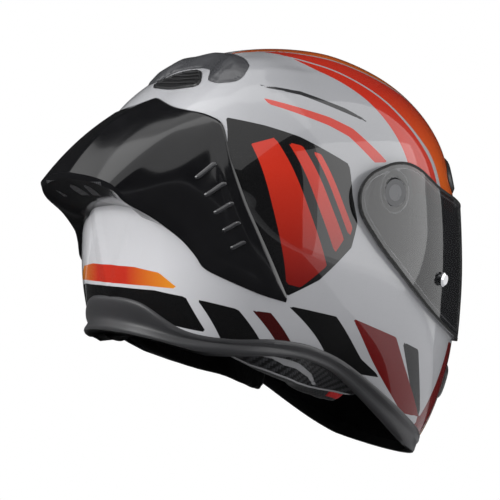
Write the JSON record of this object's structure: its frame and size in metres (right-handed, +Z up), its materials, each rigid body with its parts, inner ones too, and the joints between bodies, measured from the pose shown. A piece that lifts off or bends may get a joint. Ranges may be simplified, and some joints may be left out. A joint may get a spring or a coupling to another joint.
{
  "type": "full face motorcycle helmet",
  "caption": "Full face motorcycle helmet with a swinging clear shield, a tall rear spoiler, vent sliders, padded lining and a chin strap.",
  "frame": {"origin": "on the ground under the middle of the whole helmet, which stands on its edge trim", "axes": "+Z up, -Y towards the chin bar, -X towards the wearer's right"},
  "size_m": [0.2546, 0.385, 0.264],
  "materials": {
    "shell_paint": "gloss lacquer over silver paint with colour stripes",
    "spoiler_black": "gloss black",
    "louvre_black": "gloss black with bright edges",
    "smoked_window": "smoked, see-through",
    "vent_grey": "gloss dark grey",
    "vent_black": "fine moulded texture",
    "slider_grey": "fine moulded texture",
    "mesh_black": "fine mesh",
    "impact_foam": "beaded foam",
    "lining_fabric": "knitted lining over foam",
    "roll_fabric": "smooth woven fabric over foam",
    "panel_weave": "twill weave under satin resin",
    "trim_rubber": "matt",
    "seal_rubber": "matt",
    "mechanism_grey": "satin",
    "pivot_grey": "satin",
    "visor_smoke": "light smoke tint, hard coat",
    "bush_black": "satin",
    "post_steel": "polished",
    "lens_clear": "clear",
    "pin_plastic": "clear",
    "deflector_rubber": "matt",
    "curtain_fabric": "stretch fabric",
    "strap_webbing": "woven webbing",
    "rivet_steel": "satin",
    "tab_red": "woven tape"
  },
  "bodies": {
    "root": {"outer_shell": "shell_paint", "rear_spoiler": "spoiler_black", "spoiler_louvres": "louvre_black", "rear_extractor": "smoked_window", "top_vent_cover": "vent_grey", "top_vent_grille": "vent_black", "brow_vent_frame": "vent_black", "chin_vent_frame": "vent_black", "chin_vent_mesh": "mesh_black", "eps_liner": "impact_foam", "chin_eps": "impact_foam", "cheek_eps_right": "impact_foam", "cheek_eps_left": "impact_foam", "comfort_liner": "lining_fabric", "cheek_pad_right": "lining_fabric", "cheek_pad_left": "lining_fabric", "neck_roll": "roll_fabric", "pad_panel_right": "panel_weave", "pad_panel_left": "panel_weave", "edge_trim": "trim_rubber", "eye_port_seal": "seal_rubber", "mechanism_plate_right": "mechanism_grey", "mechanism_plate_left": "mechanism_grey", "visor_base_right": "pivot_grey", "visor_base_left": "pivot_grey", "breath_deflector": "deflector_rubber", "chin_curtain": "curtain_fabric", "strap_right": "strap_webbing", "strap_left": "strap_webbing", "strap_rivets": "rivet_steel", "d_rings": "rivet_steel", "emergency_tab_right": "tab_red", "emergency_tab_left": "tab_red"},
    "visor": {"visor": "visor_smoke", "visor_bush_right": "bush_black", "visor_bush_left": "bush_black", "tear_off_posts": "post_steel", "pinlock_lens": "lens_clear", "pinlock_pins": "pin_plastic"},
    "brow_slider": {"brow_vent_slider": "slider_grey"},
    "chin_slider": {"chin_vent_slider": "slider_grey"}
  },
  "joints": [
    {"name": "visor_hinge", "type": "hinge", "parent": "root", "child": "visor", "pos_m": [0, -0.00168, 0.15717], "axis": [-1, 0, 0], "range_deg": [0, 50]},
    {"name": "brow_slide", "type": "slide", "parent": "root", "child": "brow_slider", "axis": [0, 0.628, 0.7782], "range_m": [0, 0.006]},
    {"name": "chin_slide", "type": "slide", "parent": "root", "child": "chin_slider", "axis": [0, 0.1915, 0.9815], "range_m": [0, 0.006]}
  ]
}
